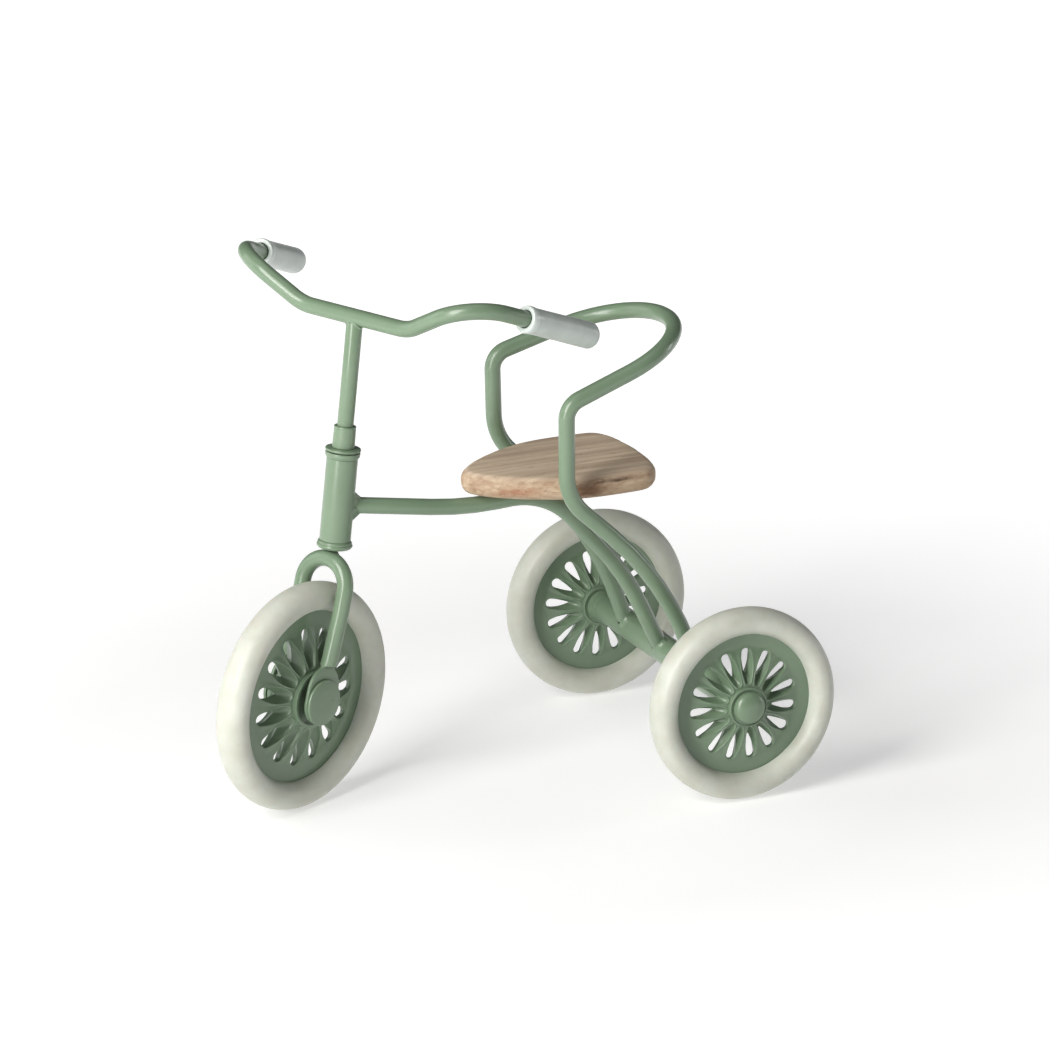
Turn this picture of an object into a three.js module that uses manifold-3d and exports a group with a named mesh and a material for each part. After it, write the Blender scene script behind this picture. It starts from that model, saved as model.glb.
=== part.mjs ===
// A miniature tricycle: a bent-wire frame on three slotted wheels, with a backrest hoop, a wooden
// seat and a swept handlebar. Millimetres, +Z up, front towards -X, rider's left towards -Y.
// The origin is on the ground, under the middle of the tricycle's box. The steering is shown turned
// to the rider's left, which is the rest position of its joint.
import * as THREE from 'three';
import { mergeVertices } from 'three/addons/utils/BufferGeometryUtils.js';
import Module from 'manifold-3d';

const wasm = await Module();
wasm.setup();

// ---------------------------------------------------------------- driving dimensions
const WIRE_R = 1.5; // every bent wire and the handlebar stem
const ROD_R = 1.0; // the wheel axles
const RUN_GAP = 0.1; // radial clearance of a turning fit
const SEAM = 0.06; // hairline between two parts brazed or seated together

const REAR_RADIUS = 18; // rear tyre
const REAR_TRACK = 32.3; // from the middle of the tricycle to a rear wheel's mid-plane
const FRONT_RADIUS = 21.2; // front tyre
const AXLE_X = 37.47; // rear axle, behind the origin
const SIDE_SHIFT = -3.26; // centres the turned handlebar and the wheels in one box

const HEAD_LEAN = THREE.MathUtils.degToRad(6.8); // top of the steering axis leans to the rear
const HEAD_X = -60.49; // steering axis at HEAD_Z, ahead of the rear axle
const HEAD_Z = 90.2;
const STEER_TURN = THREE.MathUtils.degToRad(27.1); // to the rider's left
const BAR_TWIST = THREE.MathUtils.degToRad(4.2); // handlebar against the fork

// Heights along the steering axis, measured down from HEAD_Z.
const BAR_C = -0.55; // handlebar centre line
const FERRULE_TOP = -20.4;
const FERRULE_BOTTOM = -24.4;
const WASHER_BOTTOM = -24.95;
const CUP_TOP = -25.15;
const TUBE_TOP = -26.3;
const TUBE_BOTTOM = -41.6;
const CUP_BOTTOM = -43.1;
const ARCH_C = -44.95; // fork arch centre line
const HUB_C = -70.03; // front axle
const HUB_RAKE = 5.4; // front axle, ahead of the steering axis

const HEAD_TUBE_R = 2.85;
const STEERER_R = 1.45;
const AXLE_TUBE_R = 2.65;
const LEG_SPREAD = 4.95; // fork leg centre line, from the wheel's mid-plane

const SEAT_BOTTOM = 53.85;
const SEAT_TOP = 58.2;

// ---------------------------------------------------------------- materials
const material = (color, roughness, metalness) => (
  () => new THREE.MeshStandardMaterial({ color, roughness, metalness })
);
const enamel = material('#86a382', 0.25, 0.0);
const rubber = material('#d9d6c8', 0.55, 0.0);
const gripPlastic = material('#c9cfca', 0.35, 0.0);
const oak = material('#a58a6e', 0.6, 0.0);
const steel = material('#9aa09a', 0.35, 0.9);

// ---------------------------------------------------------------- solids
// Merges shared corners, drops the empty triangles at a lathe's poles, and makes a solid.
function solid(geometry) {
  const bare = geometry.index ? geometry.toNonIndexed() : geometry.clone();
  bare.deleteAttribute('normal');
  bare.deleteAttribute('uv');
  const merged = mergeVertices(bare, 1e-4);
  const corners = merged.index.array;
  const triVerts = [];
  for (let i = 0; i < corners.length; i += 3) {
    const [a, b, c] = [corners[i], corners[i + 1], corners[i + 2]];
    if (a !== b && b !== c && c !== a) triVerts.push(a, b, c);
  }
  return new wasm.Manifold(new wasm.Mesh({
    numProp: 3,
    vertProperties: new Float32Array(merged.attributes.position.array),
    triVerts: new Uint32Array(triVerts),
  }));
}

function part(name, body, finish) {
  const shell = body.getMesh();
  const geometry = new THREE.BufferGeometry();
  geometry.setAttribute('position', new THREE.BufferAttribute(shell.vertProperties, 3));
  geometry.setIndex(new THREE.BufferAttribute(shell.triVerts, 1));
  geometry.computeVertexNormals();
  const mesh = new THREE.Mesh(geometry, finish());
  mesh.name = name;
  return mesh;
}

// A solid of revolution about Z from [radius, height] pairs that run upwards on the outside.
function turned(profile, segments = 20) {
  const points = profile.map(([r, h]) => new THREE.Vector2(r, h));
  const lathe = new THREE.LatheGeometry(points, segments);
  return solid(lathe.rotateX(Math.PI / 2));
}

// A closed ring about Z from its bore to its outside, with chamfered outer edges.
function ring(bore, outside, bottom, top, chamfer = 0.15) {
  return turned([
    [bore, bottom], [outside - chamfer, bottom], [outside, bottom + chamfer],
    [outside, top - chamfer], [outside - chamfer, top], [bore, top], [bore, bottom],
  ]);
}

function rodAlongZ(radius, bottom, top, segments = 16) {
  const rod = new THREE.CylinderGeometry(radius, radius, top - bottom, segments);
  return solid(rod.rotateX(Math.PI / 2).translate(0, 0, (bottom + top) / 2));
}

function rodAlongY(radius, halfLength, segments = 16) {
  return solid(new THREE.CylinderGeometry(radius, radius, 2 * halfLength, segments));
}

// ---------------------------------------------------------------- bent wire
// The centre line of a wire: straight runs between corners, each corner bent to its own radius.
// Its stations are the run ends and every BEND_STEP of a bend.
const WIRE_SIDES = 8;
const BEND_STEP = THREE.MathUtils.degToRad(22.5);

class WirePath extends THREE.Curve {
  constructor(corners, radii) {
    super();
    this.stations = [];
    this.tangents = [];
    const ends = corners.length - 1;
    this.addStation(corners[0], corners[1].clone().sub(corners[0]));
    for (let i = 1; i < ends; i += 1) {
      this.addBend(corners[i - 1], corners[i], corners[i + 1], radii[i - 1]);
    }
    this.addStation(corners[ends], corners[ends].clone().sub(corners[ends - 1]));
  }

  addStation(point, direction) {
    this.stations.push(point.clone());
    this.tangents.push(direction.clone().normalize());
  }

  addBend(before, corner, after, radius) {
    const arriving = corner.clone().sub(before).normalize();
    const leaving = after.clone().sub(corner).normalize();
    const turn = arriving.angleTo(leaving);
    const setback = radius * Math.tan(turn / 2);
    const start = corner.clone().addScaledVector(arriving, -setback);
    const inward = leaving.clone().addScaledVector(arriving, -Math.cos(turn)).normalize();
    const steps = Math.max(1, Math.ceil(turn / BEND_STEP));
    for (let k = 0; k <= steps; k += 1) {
      const angle = (turn * k) / steps;
      const point = start.clone()
        .addScaledVector(arriving, radius * Math.sin(angle))
        .addScaledVector(inward, radius * (1 - Math.cos(angle)));
      const direction = arriving.clone()
        .multiplyScalar(Math.cos(angle))
        .addScaledVector(inward, Math.sin(angle));
      this.addStation(point, direction);
    }
  }

  stationIndex(u) {
    return Math.round(u * (this.stations.length - 1));
  }

  getPointAt(u, target = new THREE.Vector3()) {
    return target.copy(this.stations[this.stationIndex(u)]);
  }

  getPoint(t, target) {
    return this.getPointAt(t, target);
  }

  getTangentAt(u, target = new THREE.Vector3()) {
    return target.copy(this.tangents[this.stationIndex(u)]);
  }
}

function bentWire(corners, radii, radius = WIRE_R) {
  const path = new WirePath(corners.map((c) => new THREE.Vector3(...c)), radii);
  const section = new THREE.Shape().absarc(0, 0, radius, 0, 2 * Math.PI);
  return solid(new THREE.ExtrudeGeometry(section, {
    extrudePath: path,
    steps: path.stations.length - 1,
    curveSegments: WIRE_SIDES,
  }));
}

// ---------------------------------------------------------------- wheels
// Axle along Y. A rear wheel's hub is narrow; the front wheel's has a broad collar.
const REAR_WHEEL = {
  radius: REAR_RADIUS,
  rim: 13.13, // where the tyre covers the disc
  tyreHalf: 3.15, // half of the tyre's width
  hubR: 3.75,
  hubHalf: 3.0,
  coneEdge: 10.9, // outside of the domed cone
  slotEnd: 10.45,
};
const FRONT_WHEEL = {
  radius: FRONT_RADIUS,
  rim: 16.0,
  tyreHalf: 3.15,
  hubR: 5.3,
  hubHalf: 3.3,
  coneEdge: 13.2,
  slotEnd: 12.7,
};
const SLOTS = 15;
const WEB_HALF = 0.85; // half thickness of the flat margin that carries the tyre
const TONGUE = 1.1; // how far the disc reaches into the tyre
const DISC_SEGMENTS = 30;
const TYRE_SEGMENTS = 32; // a multiple of four puts a facet on the ground
const TYRE_FACETS = 9; // an odd count leaves a flat tread

// The slot is a teardrop: a round outer end, tapering to a small tip at the hub.
function slotCutter(wheel, angle) {
  const round = wheel.radius * 0.061;
  const tip = 0.2;
  const outer = wheel.slotEnd - round;
  const inner = wheel.hubR + 0.6 + tip;
  const flank = Math.PI / 2 + Math.asin((round - tip) / (outer - inner));
  const drop = new THREE.Shape();
  drop.absarc(outer, 0, round, -flank, flank);
  drop.absarc(inner, 0, tip, flank, 2 * Math.PI - flank);
  const depth = 2 * wheel.hubHalf + 2;
  const prism = new THREE.ExtrudeGeometry(drop, { depth, bevelEnabled: false, curveSegments: 3 });
  return solid(prism.translate(0, 0, -depth / 2).rotateX(Math.PI / 2).rotateY(-angle));
}

function wheelDisc(wheel, slotPhase) {
  const bore = ROD_R + RUN_GAP;
  const { hubR, hubHalf, coneEdge, rim } = wheel;
  const crown = hubHalf - 0.35; // where the cone starts, beside the hub ring
  const shoulder = WEB_HALF + (crown - WEB_HALF) * 0.55; // the cone is slightly domed
  const face = [
    [bore, hubHalf], [hubR - 0.2, hubHalf], [hubR, hubHalf - 0.2], [hubR + 0.1, crown],
    [(hubR + coneEdge) / 2, shoulder], [coneEdge, WEB_HALF], [rim + TONGUE, WEB_HALF],
  ];
  const back = face.map(([r, h]) => [r, -h]);
  const profile = [...back, ...face.reverse(), [bore, -hubHalf]];
  const points = profile.map(([r, h]) => new THREE.Vector2(r, h));
  let disc = solid(new THREE.LatheGeometry(points, DISC_SEGMENTS));
  for (let k = 0; k < SLOTS; k += 1) {
    disc = disc.subtract(slotCutter(wheel, slotPhase + (2 * Math.PI * k) / SLOTS));
  }
  return disc;
}

// An oval ring with a groove for the disc. A flat facet of the tread faces the ground.
function tyre(wheel) {
  const middle = (wheel.radius + wheel.rim) / 2;
  const lip = Math.asin((WEB_HALF + SEAM) / wheel.tyreHalf);
  const step = (2 * Math.PI - 2 * lip) / TYRE_FACETS;
  const depth = (wheel.radius - middle) / Math.cos(step / 2);
  const groove = wheel.rim + TONGUE + SEAM;
  const section = [];
  for (let k = 0; k <= TYRE_FACETS; k += 1) {
    const t = 2 * Math.PI - lip - k * step;
    section.push([middle - depth * Math.cos(t), wheel.tyreHalf * Math.sin(t)]);
  }
  section.push([groove, WEB_HALF + SEAM], [groove, -WEB_HALF - SEAM], section[0]);
  const across = Math.cos(Math.PI / TYRE_SEGMENTS);
  const points = section.map(([r, h]) => new THREE.Vector2(r / across, h));
  return solid(new THREE.LatheGeometry(points, TYRE_SEGMENTS, Math.PI / TYRE_SEGMENTS));
}

function wheelGroup(prefix, wheel, slotPhase) {
  const group = new THREE.Group();
  group.add(part(`${prefix}_wheel_disc`, wheelDisc(wheel, slotPhase), enamel));
  group.add(part(`${prefix}_tyre`, tyre(wheel), rubber));
  return group;
}

// ---------------------------------------------------------------- frame
const axleTubeCutter = () => rodAlongY(AXLE_TUBE_R + SEAM, 30, 24).translate([0, 0, REAR_RADIUS]);

const headTubeCutter = () => rodAlongZ(HEAD_TUBE_R + SEAM, TUBE_BOTTOM, TUBE_TOP, 24)
  .rotate([0, THREE.MathUtils.radToDeg(HEAD_LEAN), 0])
  .translate([HEAD_X, 0, HEAD_Z]);

const SEAT_PINS = [-36, -29]; // along the main tube
const PIN_R = 0.6;
const PIN_BOTTOM = 50.9;
const PIN_TOP = 56.6;

function pinHole(x) {
  const hole = rodAlongZ(PIN_R + SEAM, PIN_BOTTOM - SEAM, PIN_TOP + SEAM);
  return hole.translate([x, 0, 0]);
}

function mainTube() {
  let tube = bentWire([
    [-64.6, 0, 55.3], [-40, 0, 51.3], [-23.8, 0, 52.25], [-8.5, 0, 34.5], [-1.6, 0, 19.6],
  ], [60, 15, 52]);
  tube = tube.subtract(headTubeCutter());
  tube = tube.subtract(axleTubeCutter());
  for (const x of SEAT_PINS) tube = tube.subtract(pinHole(x));
  return tube;
}

// The hoop is bent by hand, so its left and right elbows and shoulders differ in height.
function hoopSide(side, elbowZ, shoulderZ, backZ) {
  return [
    [-1.5, side * 15.6, 19.7], [-6.3, side * 17.25, 36.2], [-27.0, side * 16.4, elbowZ],
    [-27.0, side * 16.8, shoulderZ], [0.1, side * 15.7, backZ],
  ];
}

function backrestHoop() {
  const left = hoopSide(-1, 55.8, 73.3, 82.8);
  const right = hoopSide(1, 59.0, 74.0, 81.9).reverse();
  const radii = [60, 10.2, 3.7, 16.0];
  const hoop = bentWire([...left, ...right], [...radii, ...radii.slice().reverse()]);
  return hoop.subtract(axleTubeCutter());
}

function seatBoard() {
  const outline = new THREE.Shape();
  outline.moveTo(-5.4, 0);
  outline.bezierCurveTo(-5.8, 6.0, -5.5, 13.0, -10.6, 13.5);
  outline.bezierCurveTo(-15.0, 13.9, -20.6, 14.0, -24.8, 12.7);
  outline.bezierCurveTo(-31.5, 10.4, -40.4, 4.2, -40.4, 0);
  outline.bezierCurveTo(-40.4, -4.2, -31.5, -10.4, -24.8, -12.7);
  outline.bezierCurveTo(-20.6, -14.0, -15.0, -13.9, -10.6, -13.5);
  outline.bezierCurveTo(-5.5, -13.0, -5.8, -6.0, -5.4, 0);
  const edge = 1.3;
  const board = new THREE.ExtrudeGeometry(outline, {
    depth: SEAT_TOP - SEAT_BOTTOM - 2 * edge,
    bevelThickness: edge,
    bevelSize: edge,
    bevelOffset: -edge,
    bevelSegments: 2,
    curveSegments: 5,
  });
  let seat = solid(board.translate(0, 0, SEAT_BOTTOM + edge));
  for (const x of SEAT_PINS) seat = seat.subtract(pinHole(x));
  return seat;
}

// A domed cap on the axle's end: a short skirt, a round crown and a blind bore for the axle.
function hubCap(inner, skirt, height, radius) {
  const bore = ROD_R + SEAM;
  const rise = inner + skirt;
  const boreEnd = rise + height * 0.35;
  return turned([
    [bore, inner], [radius, inner], [radius, rise], [radius * 0.92, rise + height * 0.42],
    [radius * 0.7, rise + height * 0.75], [radius * 0.36, rise + height * 0.95],
    [0, rise + height], [0, boreEnd], [bore, boreEnd], [bore, inner],
  ]);
}

const REAR_TUBE_HALF = 27.3;
const REAR_HUB_INNER = REAR_TRACK - REAR_WHEEL.hubHalf;
const REAR_HUB_OUTER = REAR_TRACK + REAR_WHEEL.hubHalf;
const FACE_GAP = 0.12; // side play between a hub and its neighbour

// Turns a piece built about Z so that it points along -Y (left) or +Y (right).
function sideways(body, side) {
  return side === 'left' ? body.rotate([90, 0, 0]) : body.rotate([-90, 0, 0]);
}

function rearAxle() {
  const group = new THREE.Group();
  group.position.z = REAR_RADIUS;
  const bore = ROD_R + RUN_GAP;
  const tube = sideways(ring(bore, AXLE_TUBE_R, -REAR_TUBE_HALF, REAR_TUBE_HALF, 0.2), 'left');
  group.add(part('rear_axle_tube', tube, enamel));
  group.add(part('rear_axle_rod', rodAlongY(ROD_R, REAR_HUB_OUTER + 0.7), steel));
  for (const side of ['left', 'right']) {
    const collar = ring(bore, 3.0, REAR_TUBE_HALF + SEAM, REAR_HUB_INNER - FACE_GAP, 0.4);
    group.add(part(`rear_collar_${side}`, sideways(collar, side), enamel));
    const cap = hubCap(REAR_HUB_OUTER + FACE_GAP, 0.35, 1.45, 3.0);
    group.add(part(`rear_hub_cap_${side}`, sideways(cap, side), enamel));
  }
  return group;
}

const SPIGOT = 2.5; // how far each cup reaches into the head tube

function headTube() {
  const group = new THREE.Group();
  const bore = 2.25;
  group.add(part('head_tube', ring(bore, HEAD_TUBE_R, TUBE_BOTTOM, TUBE_TOP, 0.1), enamel));
  const fit = STEERER_R + RUN_GAP;
  const spigot = bore - SEAM;
  const upper = turned([
    [fit, TUBE_TOP - SPIGOT], [spigot, TUBE_TOP - SPIGOT], [spigot, TUBE_TOP + SEAM],
    [HEAD_TUBE_R, TUBE_TOP + SEAM], [3.2, TUBE_TOP + 0.45], [3.2, CUP_TOP - 0.25], [3.0, CUP_TOP],
    [fit, CUP_TOP], [fit, TUBE_TOP - SPIGOT],
  ]);
  group.add(part('head_cup_top', upper, enamel));
  const lower = turned([
    [fit, CUP_BOTTOM], [2.75, CUP_BOTTOM], [3.2, CUP_BOTTOM + 0.3], [3.3, CUP_BOTTOM + 0.7],
    [3.05, CUP_BOTTOM + 1.1], [2.95, TUBE_BOTTOM - SEAM], [spigot, TUBE_BOTTOM - SEAM],
    [spigot, TUBE_BOTTOM + SPIGOT], [fit, TUBE_BOTTOM + SPIGOT], [fit, CUP_BOTTOM],
  ]);
  group.add(part('head_cup_bottom', lower, enamel));
  return group;
}

// ---------------------------------------------------------------- steering
// Local frame: Z along the steering axis, -X forward, -Y to the rider's left.
const BAR_CORNERS = [[0, -11.67, 0.18], [-3.0, -26.45, 8.44]];
const BAR_RADII = [8.24, 4.14, 4.14, 8.24];
const GRIP_TIP = [26.9, -33.3, -0.1];
const GRIP_LENGTH = 17.8;
const GRIP_R = 2.45;
const GRIP_END = 1.6; // solid end beyond the bar

const mirrored = ([x, y, z]) => [x, -y, z];

function barPoint(distanceFromTip) {
  const corner = new THREE.Vector3(...BAR_CORNERS[1]);
  const tip = new THREE.Vector3(...GRIP_TIP);
  const along = corner.sub(tip).normalize();
  return tip.addScaledVector(along, distanceFromTip).toArray();
}

function handlebar() {
  const end = barPoint(GRIP_END + 0.2);
  const left = [end, BAR_CORNERS[1], BAR_CORNERS[0]];
  const right = left.map(mirrored).reverse();
  return bentWire([...left, ...right], BAR_RADII);
}

function grip(side) {
  const bore = WIRE_R + 0.1;
  const sleeve = turned([
    [bore, 0], [GRIP_R + 0.1, 0], [GRIP_R + 0.1, 0.4], [GRIP_R - 0.1, 1.4],
    [GRIP_R, GRIP_LENGTH - 1.2], [GRIP_R * 0.86, GRIP_LENGTH - 0.35], [GRIP_R * 0.55, GRIP_LENGTH],
    [0, GRIP_LENGTH], [0, GRIP_LENGTH - GRIP_END], [bore, GRIP_LENGTH - GRIP_END], [bore, 0],
  ]);
  const mesh = part(`grip_${side}`, sleeve, gripPlastic);
  const place = side === 'left' ? (p) => p : mirrored;
  const mouth = new THREE.Vector3(...place(barPoint(GRIP_LENGTH)));
  const tip = new THREE.Vector3(...place(GRIP_TIP));
  mesh.position.copy(mouth);
  mesh.quaternion.setFromUnitVectors(new THREE.Vector3(0, 0, 1), tip.sub(mouth).normalize());
  return mesh;
}

function barAssembly() {
  const group = new THREE.Group();
  group.position.z = BAR_C;
  group.rotation.z = BAR_TWIST;
  group.add(part('handlebar', handlebar(), enamel));
  group.add(grip('left'), grip('right'));
  const stem = rodAlongZ(WIRE_R, FERRULE_TOP - 2.0 - BAR_C, 0);
  group.add(part('stem_tube', stem.subtract(rodAlongY(WIRE_R + SEAM, 4)), enamel));
  return group;
}

function steerer() {
  const group = new THREE.Group();
  const bore = WIRE_R + SEAM;
  const ferrule = turned([
    [bore, FERRULE_BOTTOM], [2.05, FERRULE_BOTTOM], [2.0, FERRULE_TOP - 0.7],
    [1.85, FERRULE_TOP - 0.1], [1.8, FERRULE_TOP], [bore, FERRULE_TOP], [bore, FERRULE_BOTTOM],
  ]);
  group.add(part('stem_ferrule', ferrule, enamel));
  const washer = ring(bore, 3.25, WASHER_BOTTOM, FERRULE_BOTTOM - SEAM, 0.15);
  group.add(part('stem_washer', washer, enamel));
  const pin = rodAlongZ(STEERER_R, CUP_BOTTOM - 0.3, FERRULE_TOP - 2.1);
  group.add(part('steerer_pin', pin.subtract(archWire(SEAM)), steel));
  return group;
}

// The fork: one wire bent into an arch, its ends pressed into flat round eyes for the axle.
const ARCH_X = -1.3;
const LEG_BEND = [-2.5, -53.6];
const EYE_R = 4.25;
const EYE_INNER = 4.0;
const EYE_OUTER = 4.9;
const EYE_MIDDLE = (EYE_INNER + EYE_OUTER) / 2;
const SPADE_TOP = 8.2; // the wire starts to flatten this far above the axle

function archWire(extra = 0) {
  const legTop = [ARCH_X, -LEG_SPREAD, ARCH_C];
  const bend = [LEG_BEND[0], -LEG_SPREAD, LEG_BEND[1]];
  const eye = new THREE.Vector3(-HUB_RAKE, -EYE_MIDDLE, HUB_C);
  const toHub = eye.sub(new THREE.Vector3(...bend)).normalize();
  const reach = (bend[2] - (HUB_C + SPADE_TOP)) / -toHub.z;
  const foot = new THREE.Vector3(...bend).addScaledVector(toHub, reach).toArray();
  const left = [foot, bend, legTop];
  const right = left.map(mirrored).reverse();
  const arch = LEG_SPREAD - 0.01; // the two arch bends meet in the middle
  return bentWire([...left, ...right], [12, arch, arch, 12], WIRE_R + extra);
}

// The flattened stretch between the round wire and the eye, on one side.
function spade() {
  const drop = SPADE_TOP + 0.4;
  const cone = new THREE.CylinderGeometry(WIRE_R, EYE_R - 0.6, drop, 16).rotateX(Math.PI / 2);
  const wedge = new THREE.Shape();
  wedge.moveTo(-0.45, -drop / 2);
  wedge.lineTo(0.45, -drop / 2);
  wedge.lineTo(0.45, -drop / 2 + 4.6);
  wedge.lineTo(WIRE_R + 0.02, drop / 2);
  wedge.lineTo(-WIRE_R - 0.02, drop / 2);
  wedge.lineTo(-0.45, -drop / 2 + 4.6);
  const plate = new THREE.ExtrudeGeometry(wedge, { depth: 12, bevelEnabled: false });
  plate.translate(0, 0, -6).rotateX(Math.PI / 2).rotateZ(Math.PI / 2);
  return solid(cone).intersect(solid(plate)).translate([0, 0, drop / 2]);
}

function fork() {
  let body = archWire();
  const hub = new THREE.Vector3(-HUB_RAKE, 0, HUB_C);
  const legLean = Math.atan2(HUB_RAKE + LEG_BEND[0], LEG_BEND[1] - HUB_C);
  for (const y of [-EYE_MIDDLE, EYE_MIDDLE]) {
    const eye = rodAlongY(EYE_R, (EYE_OUTER - EYE_INNER) / 2, 28);
    const blade = spade().rotate([0, THREE.MathUtils.radToDeg(legLean), 0]);
    body = body.add(eye.add(blade).translate([hub.x, y, hub.z]));
  }
  return body.subtract(rodAlongY(ROD_R + RUN_GAP, 8).translate(hub.toArray()));
}

function frontAxle() {
  const group = new THREE.Group();
  group.add(part('front_axle_rod', rodAlongY(ROD_R, EYE_OUTER + 0.35), steel));
  for (const side of ['left', 'right']) {
    const cap = hubCap(EYE_OUTER + SEAM, 0.45, 0.35, 4.3);
    group.add(part(`front_axle_cap_${side}`, sideways(cap, side), enamel));
  }
  return group;
}

// ---------------------------------------------------------------- assembly
// Slot phases set where each wheel has come to rest.
const REAR_LEFT_PHASE = THREE.MathUtils.degToRad(86.6);
const REAR_RIGHT_PHASE = THREE.MathUtils.degToRad(5.2);
const FRONT_PHASE = THREE.MathUtils.degToRad(-6.0);
const FRONT_GROUND_TILT = THREE.MathUtils.degToRad(-6.0); // turns a tread facet to the ground

const tricycle = new THREE.Group();
const chassis = new THREE.Group();
chassis.position.set(AXLE_X, SIDE_SHIFT, 0);
tricycle.add(chassis);

chassis.add(part('main_tube', mainTube(), enamel));
chassis.add(part('backrest_hoop', backrestHoop(), enamel));
chassis.add(part('seat_board', seatBoard(), oak));
SEAT_PINS.forEach((x, i) => {
  const place = i === 0 ? 'front' : 'rear';
  const pin = part(`seat_pin_${place}`, rodAlongZ(PIN_R, PIN_BOTTOM, PIN_TOP), steel);
  pin.position.x = x;
  chassis.add(pin);
});
chassis.add(rearAxle());

const rearLeft = wheelGroup('rear_left', REAR_WHEEL, REAR_LEFT_PHASE);
rearLeft.position.set(0, -REAR_TRACK, REAR_RADIUS);
const rearRight = wheelGroup('rear_right', REAR_WHEEL, REAR_RIGHT_PHASE);
rearRight.position.set(0, REAR_TRACK, REAR_RADIUS);
chassis.add(rearLeft, rearRight);

const head = headTube();
head.position.set(HEAD_X, 0, HEAD_Z);
head.rotation.y = HEAD_LEAN;
chassis.add(head);

const steering = new THREE.Group();
steering.rotation.z = STEER_TURN;
steering.add(barAssembly(), steerer(), part('fork', fork(), enamel));
head.add(steering);

const frontHub = new THREE.Group();
frontHub.position.set(-HUB_RAKE, 0, HUB_C);
const frontWheel = wheelGroup('front', FRONT_WHEEL, FRONT_PHASE);
frontWheel.rotation.y = FRONT_GROUND_TILT;
frontHub.add(frontAxle(), frontWheel);
steering.add(frontHub);

export default tricycle;
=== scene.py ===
# Looks of the miniature tricycle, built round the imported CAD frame. Shapes are written in
# millimetres and stored in metres. Front is -X, the rider's left is -Y, up is +Z.
import math

import bmesh
import bpy
from mathutils import Matrix, Vector, noise


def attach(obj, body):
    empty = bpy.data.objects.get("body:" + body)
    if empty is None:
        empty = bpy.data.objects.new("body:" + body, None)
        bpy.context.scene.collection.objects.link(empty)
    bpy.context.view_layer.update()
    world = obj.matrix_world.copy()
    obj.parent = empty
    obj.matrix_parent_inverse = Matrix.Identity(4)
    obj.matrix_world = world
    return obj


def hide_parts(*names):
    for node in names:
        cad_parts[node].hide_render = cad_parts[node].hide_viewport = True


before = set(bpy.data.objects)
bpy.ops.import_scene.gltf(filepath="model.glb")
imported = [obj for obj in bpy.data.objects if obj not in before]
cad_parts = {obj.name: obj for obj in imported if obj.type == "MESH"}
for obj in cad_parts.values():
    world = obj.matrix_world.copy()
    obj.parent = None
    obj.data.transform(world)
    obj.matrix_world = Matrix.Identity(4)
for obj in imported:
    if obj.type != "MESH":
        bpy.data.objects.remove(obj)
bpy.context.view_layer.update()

MM = 0.001

# ---------------------------------------------------------------- places, as in the CAD part
AXLE_X = 37.47
SIDE_SHIFT = -3.26
REAR_RADIUS = 18.0
REAR_TRACK = 32.3
HEAD_LEAN = math.radians(6.8)
HEAD_X = -60.49
HEAD_Z = 90.2
STEER_TURN = math.radians(27.1)
BAR_TWIST = math.radians(4.2)
BAR_C = -0.55
FERRULE_TOP = -20.4
FERRULE_BOTTOM = -24.4
WASHER_BOTTOM = -24.95
CUP_TOP = -25.15
TUBE_TOP = -26.3
TUBE_BOTTOM = -41.6
CUP_BOTTOM = -43.1
ARCH_C = -44.95
HUB_C = -70.03
HUB_RAKE = 5.4

WIRE_R = 1.5
ROD_R = 1.0
HEAD_TUBE_R = 2.85
AXLE_TUBE_R = 2.65
AXLE_TUBE_HALF = 27.3
AXLE_BORE = ROD_R + 0.1
SEAM = 0.06  # hairline gap between two pieces that touch
OVERLAP = 0.08  # by which two skins of one disc run into each other

CHASSIS = Matrix.Translation((AXLE_X, SIDE_SHIFT, 0))
REAR_AXLE = CHASSIS @ Matrix.Translation((0, 0, REAR_RADIUS))
HEAD = CHASSIS @ Matrix.Translation((HEAD_X, 0, HEAD_Z)) @ Matrix.Rotation(HEAD_LEAN, 4, "Y")
STEERING = HEAD @ Matrix.Rotation(STEER_TURN, 4, "Z")
BAR = STEERING @ Matrix.Translation((0, 0, BAR_C)) @ Matrix.Rotation(BAR_TWIST, 4, "Z")
FRONT_HUB = STEERING @ Matrix.Translation((-HUB_RAKE, 0, HUB_C))

TO_RIGHT = Matrix.Rotation(math.radians(-90), 4, "X")  # a shape's +Z points along +Y
TO_LEFT = Matrix.Rotation(math.radians(90), 4, "X")  # a shape's +Z points along -Y


# ---------------------------------------------------------------- mesh helpers
def piece(name, shape, place, material, body, stands_for=(), sharp=50):
    """A mesh from (points, faces) in millimetres, put in place and tied to a CAD body."""
    points, faces = shape
    mesh = bpy.data.meshes.new(name)
    mesh.from_pydata([(place @ Vector(p)) * MM for p in points], [], faces)
    shell = bmesh.new()
    shell.from_mesh(mesh)
    bmesh.ops.remove_doubles(shell, verts=shell.verts, dist=0.002 * MM)
    bmesh.ops.recalc_face_normals(shell, faces=shell.faces)
    shell.to_mesh(mesh)
    shell.free()
    mesh.polygons.foreach_set("use_smooth", [True] * len(mesh.polygons))
    mesh.set_sharp_from_angle(angle=math.radians(sharp))
    mesh.materials.append(material)
    obj = bpy.data.objects.new(name, mesh)
    bpy.context.collection.objects.link(obj)
    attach(obj, body)
    if stands_for:
        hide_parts(*stands_for)
    return obj


def join(*shapes):
    points, faces = [], []
    for shape_points, shape_faces in shapes:
        start = len(points)
        points += list(shape_points)
        faces += [[i + start for i in face] for face in shape_faces]
    return points, faces


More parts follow.
